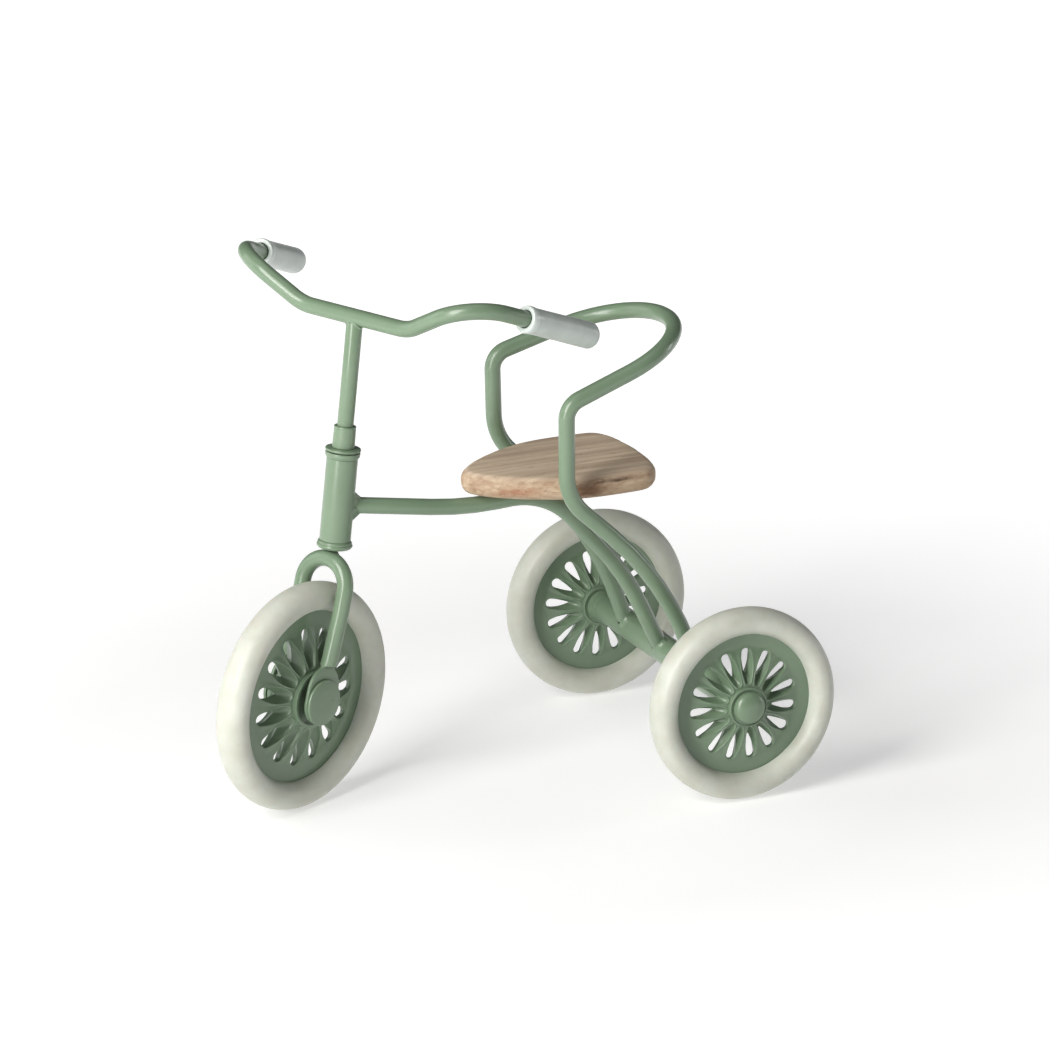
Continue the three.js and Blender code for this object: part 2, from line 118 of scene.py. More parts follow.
def rings_to_faces(rings, closed=False):
    """Faces between neighbouring rings of point numbers; a ring of one point is a pole."""
    faces = []
    pairs = list(zip(rings, rings[1:]))
    if closed:
        pairs.append((rings[-1], rings[0]))
    for a, b in pairs:
        n = max(len(a), len(b))
        for k in range(n):
            corners = [a[k % len(a)], a[(k + 1) % len(a)], b[(k + 1) % len(b)], b[k % len(b)]]
            face = []
            for c in corners:
                if c not in face:
                    face.append(c)
            if len(face) > 2:
                faces.append(face)
    return faces


def rounded(corners, closed=False, steps=5):
    """A 2-D outline with each corner (x, y, radius) rounded off."""
    out = []
    count = len(corners)
    for i, corner in enumerate(corners):
        here = Vector(corner[:2])
        radius = corner[2] if len(corner) > 2 else 0
        if radius <= 0 or (not closed and i in (0, count - 1)):
            out.append(here)
            continue
        before = Vector(corners[i - 1][:2]) - here
        after = Vector(corners[(i + 1) % count][:2]) - here
        reach = min(before.length, after.length) * 0.49
        half = before.angle(after) / 2
        setback = min(radius / max(math.tan(half), 1e-6), reach)
        start = here + before.normalized() * setback
        end = here + after.normalized() * setback
        for k in range(steps + 1):
            t = k / steps
            out.append(start * (1 - t) ** 2 + here * 2 * t * (1 - t) + end * t ** 2)
    return out


def turned(corners, segments=72, closed=True, wobble=None):
    """A solid of revolution about Z from (radius, height, corner rounding)."""
    outline = rounded(corners, closed)
    points, rings = [], []
    for r, h in outline:
        if r < 1e-6:
            rings.append([len(points)])
            points.append(Vector((0, 0, h)))
            continue
        ring = []
        for k in range(segments):
            a = 2 * math.pi * k / segments
            p = Vector((r * math.cos(a), r * math.sin(a), h))
            if wobble:
                p = wobble(p, r, a)
            ring.append(len(points))
            points.append(p)
        rings.append(ring)
    return points, rings_to_faces(rings, closed)


def bent_path(corners, radii, step=math.radians(4.5)):
    """The centre line of a bent wire: straight runs, with each inner corner bent to its radius."""
    corners = [Vector(c) for c in corners]
    path = [corners[0]]
    for i in range(1, len(corners) - 1):
        arriving = (corners[i] - corners[i - 1]).normalized()
        leaving = (corners[i + 1] - corners[i]).normalized()
        turn = arriving.angle(leaving)
        setback = radii[i - 1] * math.tan(turn / 2)
        start = corners[i] - arriving * setback
        inward = (leaving - arriving * math.cos(turn)).normalized()
        count = max(2, math.ceil(turn / step))
        for k in range(count + 1):
            a = turn * k / count
            offset = arriving * math.sin(a) + inward * (1 - math.cos(a))
            path.append(start + offset * radii[i - 1])
    path.append(corners[-1])
    clean = [path[0]]
    for p in path[1:]:
        if (p - clean[-1]).length > 1e-3:
            clean.append(p)
    return clean


def frames_along(path, side=None):
    """A tangent and two cross directions at each point, turned as little as possible."""
    tangents = []
    for i in range(len(path)):
        ahead = path[min(i + 1, len(path) - 1)]
        behind = path[max(i - 1, 0)]
        tangents.append((ahead - behind).normalized())
    side = side or tangents[0].orthogonal()
    out = []
    for t in tangents:
        side = (side - t * side.dot(t)).normalized()
        out.append((t, side, t.cross(side)))
    return out


WIRE_SIDES = 32
EYE_HAND = -1  # the sense in which a fork section's points run


def wire(path, radius=WIRE_R, sides=WIRE_SIDES):
    """A round wire along a path. Its ends are slightly rounded."""
    points, rings = [], []
    frames = frames_along(path)
    stations = []
    lip = 0.25
    for i, (p, (t, u, v)) in enumerate(zip(path, frames)):
        if i == 0:
            stations.append((p, u, v, radius - lip))
            stations.append((p + t * lip * 0.3, u, v, radius - lip * 0.3))
            stations.append((p + t * lip, u, v, radius))
        elif i == len(path) - 1:
            stations.append((p - t * lip, u, v, radius))
            stations.append((p - t * lip * 0.3, u, v, radius - lip * 0.3))
            stations.append((p, u, v, radius - lip))
        else:
            stations.append((p, u, v, radius))
    for p, u, v, r in stations:
        ring = []
        for k in range(sides):
            a = 2 * math.pi * k / sides
            ring.append(len(points))
            points.append(p + (u * math.cos(a) + v * math.sin(a)) * r)
        rings.append(ring)
    faces = rings_to_faces(rings)
    faces.append(rings[0][::-1])
    faces.append(rings[-1])
    return points, faces


def weld(foot, into, host_point, host_axis, host_radius, size, lumps, seed, stem_radius=WIRE_R):
    """A weld where a round stem meets a round host: a concave fillet with lumps in it.

    foot is a point on the stem's centre line, and into points along it towards the host.
    """
    into = Vector(into).normalized()
    host_axis = Vector(host_axis).normalized()
    host_point = Vector(host_point)
    foot = Vector(foot)
    e1 = into.orthogonal().normalized()
    e2 = into.cross(e1)
    count, steps = 72, 8
    points, rings = [], []
    for k in range(count):
        a = 2 * math.pi * k / count
        out = e1 * math.cos(a) + e2 * math.sin(a)
        start = foot + out * stem_radius
        gap = start - host_point
        across = gap - host_axis * gap.dot(host_axis)
        along = into - host_axis * into.dot(host_axis)
        qa = along.dot(along)
        qb = 2 * across.dot(along)
        qc = across.dot(across) - host_radius ** 2
        root = max(qb * qb - 4 * qa * qc, 0.0)
        seam = start + into * ((-qb - math.sqrt(root)) / (2 * qa))
        gap = seam - host_point
        normal = (gap - host_axis * gap.dot(host_axis)).normalized()
        spread = out - normal * out.dot(normal)
        spread = spread.normalized() if spread.length > 1e-3 else out
        grain = noise.noise(Vector((math.cos(a) * 1.7 + seed, math.sin(a) * 1.7, seed * 0.37)))
        fine = noise.noise(Vector((math.cos(a) * 4.1, math.sin(a) * 4.1 + seed, 3.1)))
        reach = size * (1 + lumps * (grain + 0.6 * fine))
        p0 = seam - into * reach - out * 0.03
        p2 = seam + spread * reach
        gap = p2 - host_point
        radial = gap - host_axis * gap.dot(host_axis)
        p2 = p2 + radial.normalized() * (host_radius - 0.03 - radial.length)
        bulge = 0.16 + lumps * 0.5 * (fine + 0.5)
        mid = seam + (p0 - seam) * bulge + (p2 - seam) * bulge
        ring = []
        for j in range(steps + 1):
            t = j / steps
            ring.append(len(points))
            points.append(p0 * (1 - t) ** 2 + mid * 2 * t * (1 - t) + p2 * t ** 2)
        inner = seam - out * 0.35 - normal * 0.3
        ring.append(len(points))
        points.append(inner)
        rings.append(ring)
    return points, rings_to_faces(rings, closed=True)


# ---------------------------------------------------------------- materials
def srgb(r, g, b):
    """A colour given in 0 to 255, as linear values with alpha."""
    def linear(c):
        c /= 255
        return c / 12.92 if c <= 0.04045 else ((c + 0.055) / 1.055) ** 2.4
    return (linear(r), linear(g), linear(b), 1.0)


class Finish:
    """A node material under construction, read in object coordinates in metres."""

    def __init__(self, name):
        self.material = bpy.data.materials.new(name)
        self.material.use_nodes = True
        self.tree = self.material.node_tree
        self.shader = self.tree.nodes["Principled BSDF"]
        self.place = self.add("ShaderNodeTexCoord").outputs["Object"]

    def add(self, kind, inputs=None, **settings):
        node = self.tree.nodes.new(kind)
        for key, value in settings.items():
            setattr(node, key, value)
        for key, value in (inputs or {}).items():
            if isinstance(value, bpy.types.NodeSocket):
                self.tree.links.new(value, node.inputs[key])
            else:
                node.inputs[key].default_value = value
        return node

    def stretched(self, scale, shift=(0, 0, 0)):
        return self.add(
            "ShaderNodeMapping",
            {"Vector": self.place, "Scale": scale, "Location": shift},
        ).outputs["Vector"]

    def clouds(self, size_mm, detail=3.0, roughness=0.5, at=None):
        """Smooth noise with features of about size_mm."""
        return self.add(
            "ShaderNodeTexNoise",
            {
                "Vector": at or self.place,
                "Scale": 1 / (size_mm * MM),
                "Detail": detail,
                "Roughness": roughness,
            },
        ).outputs["Fac"]

    def ramp(self, value, low, high, start, end):
        """start at low and below, end at high and above; numbers or colours."""
        if isinstance(start, (int, float)):
            node = self.add("ShaderNodeMapRange", {
                "Value": value, "From Min": low, "From Max": high, "To Min": start, "To Max": end,
            })
            return node.outputs["Result"]
        node = self.add("ShaderNodeValToRGB", {"Fac": value})
        first, last = node.color_ramp.elements
        first.position, first.color = low, start
        last.position, last.color = high, end
        return node.outputs["Color"]

    def mix(self, share, a, b, blend="MIX"):
        node = self.add("ShaderNodeMix", data_type="RGBA", blend_type=blend)
        for index, value in ((0, share), (6, a), (7, b)):
            if isinstance(value, bpy.types.NodeSocket):
                self.tree.links.new(value, node.inputs[index])
            else:
                node.inputs[index].default_value = value
        return node.outputs[2]

    def combine(self, operation, a, b):
        node = self.add("ShaderNodeMath", operation=operation)
        for index, value in enumerate((a, b)):
            if isinstance(value, bpy.types.NodeSocket):
                self.tree.links.new(value, node.inputs[index])
            else:
                node.inputs[index].default_value = value
        return node.outputs[0]

    def bump(self, height, depth_mm, below=None):
        inputs = {"Height": height, "Distance": depth_mm * MM, "Strength": 1.0}
        if below:
            inputs["Normal"] = below
        return self.add("ShaderNodeBump", inputs).outputs["Normal"]

    def apply(self, **sockets):
        for key, value in sockets.items():
            socket = self.shader.inputs[key.replace("_", " ")]
            if isinstance(value, bpy.types.NodeSocket):
                self.tree.links.new(value, socket)
            else:
                socket.default_value = value
        return self.material


def enamel_material():
    """Thick glossy sage-green enamel: slow colour drift and faint orange peel."""
    f = Finish("sage_enamel")
    drift = f.clouds(14.0, 1.0)
    colour = f.ramp(drift, 0.2, 0.8, srgb(104, 125, 101), srgb(113, 134, 109))
    colour = f.mix(f.ramp(f.clouds(1.5, 1.0), 0.2, 0.8, 0.0, 0.1), colour, srgb(132, 152, 128))
    peel = f.bump(f.clouds(2.6, 1.0), 0.02)
    rough = f.ramp(f.clouds(4.0, 1.0), 0.2, 0.8, 0.27, 0.35)
    return f.apply(Base_Color=colour, Roughness=rough, Normal=peel, Coat_Weight=0.25,
                   Coat_Roughness=0.16, Specular_IOR_Level=0.45)


def tyre_material():
    """Cream moulded rubber: faint mottling, a satin surface and fine moulding texture."""
    f = Finish("cream_rubber")
    mottle = f.clouds(5.0, 4.0, 0.6)
    colour = f.ramp(mottle, 0.3, 0.7, srgb(186, 188, 175), srgb(199, 202, 192))
    dust = f.ramp(f.clouds(1.1, 3.0, 0.65), 0.58, 0.8, 0.0, 0.25)
    colour = f.mix(dust, colour, srgb(178, 177, 160))
    skin = f.bump(f.clouds(2.2, 2.0), 0.05)
    skin = f.bump(f.clouds(0.3, 2.0), 0.012, skin)
    rough = f.ramp(f.clouds(2.5, 2.0), 0.3, 0.7, 0.36, 0.5)
    return f.apply(Base_Color=colour, Roughness=rough, Normal=skin, Subsurface_Weight=0.12,
                   Subsurface_Scale=0.0015)


def grip_material(name, thin, thick):
    """Milky opaque plastic, cloudy and faintly uneven; thin and thick are a paler and a deeper
    tone, mixed by cloudy noise.
    """
    f = Finish(name)
    haze = f.clouds(4.0, 3.0)
    colour = f.ramp(haze, 0.3, 0.7, thick, thin)
    uneven = f.bump(f.clouds(0.9, 2.0), 0.015)
    rough = f.ramp(f.clouds(1.5, 2.0), 0.3, 0.7, 0.32, 0.44)
    return f.apply(Base_Color=colour, Roughness=rough, Normal=uneven, Coat_Weight=0.3,
                   Coat_Roughness=0.18, Specular_IOR_Level=0.55)


SEAT_TOP = 58.2
SEAT_BOTTOM = 53.85
TOP_DARK, TOP_PALE, TOP_GRAIN = srgb(181, 160, 138), srgb(213, 194, 170), srgb(156, 134, 115)
DARK_EDGE_PATCHES = [  # darker patches on the board's edge: (centre and reach in millimetres, colour, share)
    ((-21.0 + AXLE_X, -13.9 + SIDE_SHIFT, 55.9), (4.6, 5.0, 2.6), srgb(122, 84, 58), 0.75),
    ((-16.0 + AXLE_X, -13.7 + SIDE_SHIFT, 57.1), (5.5, 5.0, 0.55), srgb(70, 48, 36), 0.85),
    ((-33.0 + AXLE_X, -9.5 + SIDE_SHIFT, 55.6), (5.0, 5.0, 1.2), srgb(150, 98, 70), 0.6),
]


def wood_material():
    """Grey-brown sanded wood: fine grain along X, open pores, and warm, blotchy edges with darker
    patches.
    """
    f = Finish("seat_wood")
    bands = f.clouds(1.7, 2.0, 0.5, f.stretched((0.05, 1.0, 0.5)))
    streaks = f.clouds(0.5, 4.0, 0.65, f.stretched((0.045, 1.0, 0.4)))
    pores = f.clouds(0.4, 2.0, 0.5, f.stretched((0.16, 1.0, 1.0)))
    top = f.ramp(bands, 0.3, 0.72, TOP_DARK, TOP_PALE)
    top = f.mix(f.ramp(streaks, 0.4, 0.75, 0.0, 0.45), top, TOP_GRAIN)
    side_grain = f.clouds(1.3, 4.0, 0.65, f.stretched((0.3, 0.5, 1.0)))
    side = f.ramp(side_grain, 0.32, 0.66, srgb(157, 130, 105), srgb(189, 169, 144))
    blotch = f.ramp(f.clouds(1.6, 4.0, 0.7, f.stretched((0.35, 0.6, 1.0))), 0.48, 0.68, 0.0, 0.6)
    side = f.mix(blotch, side, srgb(134, 102, 80))
    # Darker patches on the edge, each fading out from its centre.
    for centre, reach, colour, share in DARK_EDGE_PATCHES:
        away = f.add("ShaderNodeVectorMath", {0: f.place, 1: [c * MM for c in centre]},
                     operation="SUBTRACT").outputs["Vector"]
        away = f.add("ShaderNodeVectorMath", {0: away, 1: [1 / (r * MM) for r in reach]},
                     operation="MULTIPLY").outputs["Vector"]
        away = f.add("ShaderNodeVectorMath", {0: away}, operation="LENGTH").outputs["Value"]
        broken = f.combine("MULTIPLY", f.clouds(0.9, 3.0, 0.6, f.stretched((0.4, 0.6, 1.0))), 1.6)
        amount = f.ramp(f.combine("ADD", away, broken), 1.0, 1.7, share, 0.0)
        side = f.mix(amount, side, colour)
    height = f.add("ShaderNodeSeparateXYZ", {"Vector": f.place}).outputs["Z"]
    edge_shift = f.combine("MULTIPLY", f.combine("SUBTRACT", bands, 0.5), 0.0008)
    level = f.combine("ADD", height, edge_shift)
    facing = f.ramp(level, (SEAT_TOP - 0.75) * MM, (SEAT_TOP - 0.2) * MM, 0.0, 1.0)
    colour = f.mix(facing, side, top)
    pits = f.ramp(pores, 0.6, 0.74, 0.0, 1.0)
    colour = f.mix(f.combine("MULTIPLY", pits, 0.35), colour, srgb(92, 70, 54))
    relief = f.bump(streaks, 0.018)
    relief = f.bump(f.ramp(pits, 0.0, 1.0, 1.0, 0.0), 0.03, relief)
    rough = f.ramp(bands, 0.3, 0.7, 0.55, 0.7)
    return f.apply(Base_Color=colour, Roughness=rough, Normal=relief, Specular_IOR_Level=0.3)


def steel_material():
    """Bare drawn steel rod."""
    f = Finish("bare_steel")
    colour = f.ramp(f.clouds(1.2, 3.0), 0.3, 0.7, srgb(128, 130, 128), srgb(160, 162, 160))
    rough = f.ramp(f.clouds(0.5, 2.0), 0.3, 0.7, 0.28, 0.42)
    drawn = f.bump(f.clouds(0.3, 2.0, 0.5, f.stretched((1.0, 0.05, 1.0))), 0.01)
    return f.apply(Base_Color=colour, Roughness=rough, Normal=drawn, Metallic=1.0)


def floor_material():
    """Pale matt floor that glows towards its edge, so the backdrop stays near white."""
    f = Finish("pale_floor")
    colour = f.ramp(f.clouds(60.0, 2.0), 0.3, 0.7, (0.66, 0.66, 0.66, 1), (0.69, 0.69, 0.69, 1))
    distance = f.add("ShaderNodeVectorMath", {0: f.place}, operation="LENGTH").outputs["Value"]
    glow = f.ramp(distance, 0.08, 0.26, 0.42, 0.85)
    return f.apply(Base_Color=colour, Roughness=0.9, Emission_Color=(1, 1, 1, 1),
                   Emission_Strength=glow, Specular_IOR_Level=0.1)


enamel = enamel_material()
rubber = tyre_material()
plastic = grip_material("milky_plastic", srgb(184, 192, 187), srgb(171, 180, 174))
# A paler copy of the grip plastic: painted glow, standing in for light shining through the thin
# mouth of a grip.
painted_glow_plastic = grip_material("milky_plastic_painted_glow", srgb(202, 210, 206), srgb(188, 197, 192))
wood = wood_material()
steel = steel_material()

STEEL_NODES = ("steerer_pin", "front_axle_rod", "rear_axle_rod", "seat_pin_front", "seat_pin_rear")
for steel_node in STEEL_NODES:
    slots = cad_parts[steel_node].data.materials
    slots.clear()
    slots.append(steel)


# ---------------------------------------------------------------- wheels
REAR_WHEEL = dict(radius=18.0, rim=13.13, hub=3.7, hub_half=3.0, cone_edge=10.6, slot_end=10.45,
                  lip=0.28, recess=0.2)
FRONT_WHEEL = dict(radius=21.2, rim=16.0, hub=5.3, hub_half=3.3, cone_edge=12.9, slot_end=12.8,
                   lip=0.7, recess=1.1)
TYRE_HALF = 3.15
WEB_HALF = 0.42
CELL_MARGIN = 0.8  # from a slot's outer end to the edge of its share of the disc
TONGUE = 1.1
SLOTS = 15
SLOT_RIM = 0.2  # rounding of a slot's edge
RING_STEP = 0.85  # from the ribs up to the face of the hub ring
RIB_HALF = 0.2  # half the width of a rib beside the hub
SLOT_LIFT = 0.1  # the pressed edge stands proud
NECK_SHIFT = -0.3  # the neck lies to one side of the mid-plane
NECK_LENGTH = 4.6  # of the opening right through, which is shorter than the slot
CONE_POWER = 1.25  # above 1 the cone is domed
LEAF_WIDTH, LEAF_BOW = 0.063, 0.018  # shares of the wheel's radius
NECK_WIDTH, NECK_BOW, NECK_TIP = 0.048, 0.08, 0.15
POINTS_ROUND = (12, 12, 4, 12)  # points on a slot's outer end, side, inner end, other side


def cone_height(wheel, r):
    """Half thickness of the disc at radius r: a domed cone from the hub to the flat margin."""
    crown = wheel["hub_half"] - RING_STEP
    t = min(max((r - wheel["hub"]) / (wheel["cone_edge"] - wheel["hub"]), 0.0), 1.0)
    return WEB_HALF + (crown - WEB_HALF) * (1 - t ** CONE_POWER)


def drop(outer, big, inner, small, bow):
    """A drop-shaped outline pointing at the hub: two round ends and two bowed flanks."""
    flank = math.pi / 2 + math.asin((big - small) / (outer - inner))
    end_steps, side_steps, tip_steps, _ = POINTS_ROUND
    start = Vector((outer + big * math.cos(flank), big * math.sin(flank)))
    end = Vector((inner + small * math.cos(flank), small * math.sin(flank)))
    side = []
    for k in range(side_steps + 1):
        t = k / side_steps
        side.append(start.lerp(end, t) + Vector((0, bow * math.sin(math.pi * t))))
    outline = []
    for k in range(end_steps):
        a = -flank + 2 * flank * k / end_steps
        outline.append(Vector((outer + big * math.cos(a), big * math.sin(a))))
    outline += side[:-1]
    for k in range(tip_steps):
        a = flank + (2 * math.pi - 2 * flank) * k / tip_steps
        outline.append(Vector((inner + small * math.cos(a), small * math.sin(a))))
    outline += [Vector((p.x, -p.y)) for p in side[:0:-1]]
    return outline


def leaf(wheel):
    """A slot's outline on the face of the disc, wide enough to leave only thin ribs."""
    big = wheel["radius"] * LEAF_WIDTH
    half = math.tan(math.pi / SLOTS)
    inner = (wheel["hub"] + 0.15 - RIB_HALF) / (1 - half)
    return drop(wheel["slot_end"] + 0.28 - big, big, inner, inner * half - RIB_HALF,
                wheel["radius"] * LEAF_BOW)


def neck(wheel):
    """A slot's outline at the middle of the disc, where it is narrowest."""
    big = wheel["radius"] * NECK_WIDTH
    end = wheel["slot_end"] - 0.02
    return drop(end - big, big, end - NECK_LENGTH + NECK_TIP, NECK_TIP, NECK_BOW)


def shrunk(outline, by):
    """The outline, moved inwards."""
    out = []
    for i, p in enumerate(outline):
        along = (outline[(i + 1) % len(outline)] - outline[i - 1]).normalized()
        out.append(p + Vector((-along.y, along.x)) * by)
    return out


def slot_cell(wheel):
    """The boundary of one slot's share of the disc, point for point with drop()."""
    half = math.pi / SLOTS
    inside = wheel["hub"] + OVERLAP
    outside = wheel["slot_end"] + CELL_MARGIN
    end_steps, side_steps, tip_steps, _ = POINTS_ROUND
    cell = []
    def polar(r, a):
        return Vector((r * math.cos(a), r * math.sin(a)))
    for k in range(end_steps):
        cell.append(polar(outside, -half + 2 * half * k / end_steps))
    for k in range(side_steps):
        cell.append(polar(outside + (inside - outside) * k / side_steps, half))
    for k in range(tip_steps):
        cell.append(polar(inside, half - 2 * half * k / tip_steps))
    for k in range(side_steps):
        cell.append(polar(inside + (outside - inside) * k / side_steps, -half))
    return cell


def wheel_disc(wheel, slot_phase):
    """The pressed disc, axle along Z: margin, slotted cone with rounded slot edges, and hub."""
    cell = slot_cell(wheel)
    rim_line = leaf(wheel)
    rows = []  # (flat point, height) from the cell's boundary to the slot's neck
    for t in (0.0, 0.35, 0.7, 1.0):
        row = []
        for c, e in zip(cell, rim_line):
            p = c.lerp(e, t)
            row.append((p, cone_height(wheel, p.length) + SLOT_LIFT * t * t))
        rows.append(row)
    for k in range(1, 6):
        a = math.pi / 2 * k / 5
        edge = shrunk(rim_line, SLOT_RIM * math.sin(a))
        lift = SLOT_LIFT - SLOT_RIM * (1 - math.cos(a))
        rows.append([(p, cone_height(wheel, p.length) + lift) for p in edge])
    mouth = rows.pop()
    waist = neck(wheel)
    parts = []
    for s in range(SLOTS):
        turn = slot_phase + 2 * math.pi * s / SLOTS
        cos_t, sin_t = math.cos(turn), math.sin(turn)
        for side in (1, -1):
            sections = [[(p, side * h) for p, h in row] for row in rows]
            for k in range(7):
                t = k / 6
                section = []
                for (p, h), q in zip(mouth, waist):
                    z = side * h
                    section.append((p.lerp(q, t ** 1.4), z + (NECK_SHIFT - z) * t))
                sections.append(section)
            points, rings = [], []
            for section in sections:
                ring = []
                for p, z in section:
                    ring.append(len(points))
                    points.append(Vector((p.x * cos_t - p.y * sin_t, p.x * sin_t + p.y * cos_t, z)))
                rings.append(ring)
            parts.append((points, rings_to_faces(rings)))
    hub, half, edge = wheel["hub"], wheel["hub_half"], wheel["slot_end"] + CELL_MARGIN
    foot = hub + OVERLAP
    foot_height = cone_height(wheel, foot)
    lip, recess = wheel["lip"], wheel["recess"]
    hub_outline = rounded([
        (foot, foot_height), (hub, foot_height + 0.02, 0.05), (hub, half, 0.13),
        (hub - lip, half, 0.13), (hub - lip - 0.08, half - recess, 0.1),
        (AXLE_BORE, half - recess, 0.1), (AXLE_BORE, 0),
    ])
    margin_outline = rounded([
        (edge, cone_height(wheel, edge)), (edge + 0.6, WEB_HALF),
        (wheel["rim"] + TONGUE, WEB_HALF, 0.1), (wheel["rim"] + TONGUE, 0),
    ])
    for outline, columns in ((hub_outline, SLOTS * 4), (margin_outline, SLOTS * 12)):
        for side in (1, -1):
            points, rings = [], []
            for r, h in outline:
                ring = []
                for k in range(columns):
                    a = slot_phase - math.pi / SLOTS + 2 * math.pi * k / columns
                    ring.append(len(points))
                    points.append(Vector((r * math.cos(a), r * math.sin(a), side * h)))
                rings.append(ring)
            parts.append((points, rings_to_faces(rings)))
    return join(*parts)


def tyre_ring(wheel, seed):
    """An oval ring with a groove for the disc; its inner lip wavers slightly, as moulded."""
    middle = (wheel["radius"] + wheel["rim"]) / 2
    depth = (wheel["radius"] - wheel["rim"]) / 2
    lip = math.asin((WEB_HALF + SEAM) / TYRE_HALF)
    outline = []
    count = 44
    for k in range(count + 1):
        t = lip + (2 * math.pi - 2 * lip) * k / count
        bulge = abs(math.cos(t)) ** 0.92 * math.copysign(1, math.cos(t))
        outline.append((middle - depth * bulge, TYRE_HALF * math.sin(t)))
    groove = wheel["rim"] + TONGUE + SEAM
    outline += [(groove, -WEB_HALF - SEAM), (groove, WEB_HALF + SEAM)]

    def waver(p, r, a):
        share = max(0.0, 1 - (r - wheel["rim"]) / 1.2)
        shift = noise.noise(Vector((math.cos(a) * 3.2, math.sin(a) * 3.2, seed + p.z * 0.2)))
        scale = 1 + share * shift * 0.09 / r
        return Vector((p.x * scale, p.y * scale, p.z))
    return turned(outline, 160, True, waver)


REAR_LEFT_PHASE = math.radians(86.6)
REAR_RIGHT_PHASE = math.radians(5.2)
FRONT_PHASE = 0.0


def add_wheel(prefix, wheel, place, phase, seed):
    piece(f"{prefix}_disc_pressed", wheel_disc(wheel, phase), place, enamel, f"{prefix}_wheel",
          [f"{prefix}_wheel_disc"])
    piece(f"{prefix}_tyre_moulded", tyre_ring(wheel, seed), place, rubber, f"{prefix}_wheel",
          [f"{prefix}_tyre"])


# A disc is drawn about Z; turning it onto the axle sends its angles round from +X towards -Z.
ON_AXLE = Matrix.Rotation(math.radians(-90), 4, "X")
add_wheel("rear_left", REAR_WHEEL, REAR_AXLE @ Matrix.Translation((0, -REAR_TRACK, 0)) @ ON_AXLE,
          -REAR_LEFT_PHASE, 1.3)
add_wheel("rear_right", REAR_WHEEL, REAR_AXLE @ Matrix.Translation((0, REAR_TRACK, 0)) @ ON_AXLE,
          -REAR_RIGHT_PHASE, 4.7)
add_wheel("front", FRONT_WHEEL, FRONT_HUB @ ON_AXLE, -FRONT_PHASE, 8.2)


# ---------------------------------------------------------------- frame
SPINE = [(-62.3, 0, 54.95), (-40, 0, 51.3), (-23.8, 0, 52.25), (-8.5, 0, 34.5), (-1.6, 0, 19.6)]
spine_path = bent_path(SPINE, [60, 15, 52])


def hoop_side(side, elbow, shoulder, back):
    return [
        (-1.5, side * 15.6, 19.7), (-6.3, side * 17.25, 36.2), (-27.0, side * 16.4, elbow),
        (-27.0, side * 16.8, shoulder), (0.1, side * 15.7, back),
    ]


HOOP_RADII = [60, 10.2, 3.7, 16.0]
hoop_corners = hoop_side(-1, 55.8, 73.3, 82.8) + hoop_side(1, 59.0, 74.0, 81.9)[::-1]
hoop_path = bent_path(hoop_corners, HOOP_RADII + HOOP_RADII[::-1])

piece("main_tube_wire", wire(spine_path), CHASSIS, enamel, "frame", ["main_tube"])
piece("backrest_hoop_wire", wire(hoop_path), CHASSIS, enamel, "frame", ["backrest_hoop"])


def weld_on_axle(name, end, before, size, lumps, seed):
    into = Vector(end) - Vector(before)
    shape = weld(end, into, (0, 0, REAR_RADIUS), (0, 1, 0), AXLE_TUBE_R, size, lumps, seed)
    piece(name, shape, CHASSIS, enamel, "frame")


weld_on_axle("weld_main_tube_foot", spine_path[-1], spine_path[-2], 0.8, 0.35, 2.0)
weld_on_axle("weld_hoop_left_foot", hoop_path[0], hoop_path[1], 0.75, 0.3, 5.0)
weld_on_axle("weld_hoop_right_foot", hoop_path[-1], hoop_path[-2], 0.75, 0.3, 9.0)

head_axis = Matrix.Rotation(HEAD_LEAN, 3, "Y") @ Vector((0, 0, 1))
head_weld = weld(spine_path[0], spine_path[0] - spine_path[1], (HEAD_X, 0, HEAD_Z), head_axis,
                 HEAD_TUBE_R, 0.95, 1.0, 12.0)
piece("weld_main_tube_head", head_weld, CHASSIS, enamel, "frame")

axle_tube = turned([
    (AXLE_BORE, -AXLE_TUBE_HALF), (AXLE_TUBE_R, -AXLE_TUBE_HALF, 0.2),
    (AXLE_TUBE_R, AXLE_TUBE_HALF, 0.2), (AXLE_BORE, AXLE_TUBE_HALF),
])
piece("rear_axle_tube_drawn", axle_tube, REAR_AXLE @ TO_RIGHT, enamel, "frame",
      ["rear_axle_tube"])

REAR_CAP_R = 3.0
hub_inner = REAR_TRACK - REAR_WHEEL["hub_half"]
hub_outer = REAR_TRACK + REAR_WHEEL["hub_half"]
for side, turn in (("left", TO_LEFT), ("right", TO_RIGHT)):
    collar = turned([
        (AXLE_BORE, AXLE_TUBE_HALF - 0.3), (AXLE_TUBE_R + 0.02, AXLE_TUBE_HALF - 0.3),
        (AXLE_TUBE_R + 0.12, AXLE_TUBE_HALF, 0.4), (2.8, hub_inner - 0.75, 0.9),
        (3.0, hub_inner - 0.1, 0.5), (2.98, hub_inner + 0.12, 0.05), (AXLE_BORE, hub_inner + 0.12),
    ])
    piece(f"rear_collar_{side}_ring", collar, REAR_AXLE @ turn, enamel, "frame",
          [f"rear_collar_{side}"])
    base = hub_outer - 0.1
    dome = [(AXLE_BORE, base), (REAR_CAP_R, base, 0.05)]
    for k in range(0, 12):
        a = math.pi / 2 * k / 12
        dome.append((REAR_CAP_R * math.cos(a) ** 0.85, base + 0.3 + 1.65 * math.sin(a)))
    dome += [(0, base + 1.95), (0, base + 0.8), (AXLE_BORE, base + 0.8)]
    piece(f"rear_hub_cap_{side}_dome", turned(dome), REAR_AXLE @ turn, enamel, "frame",
          [f"rear_hub_cap_{side}"])

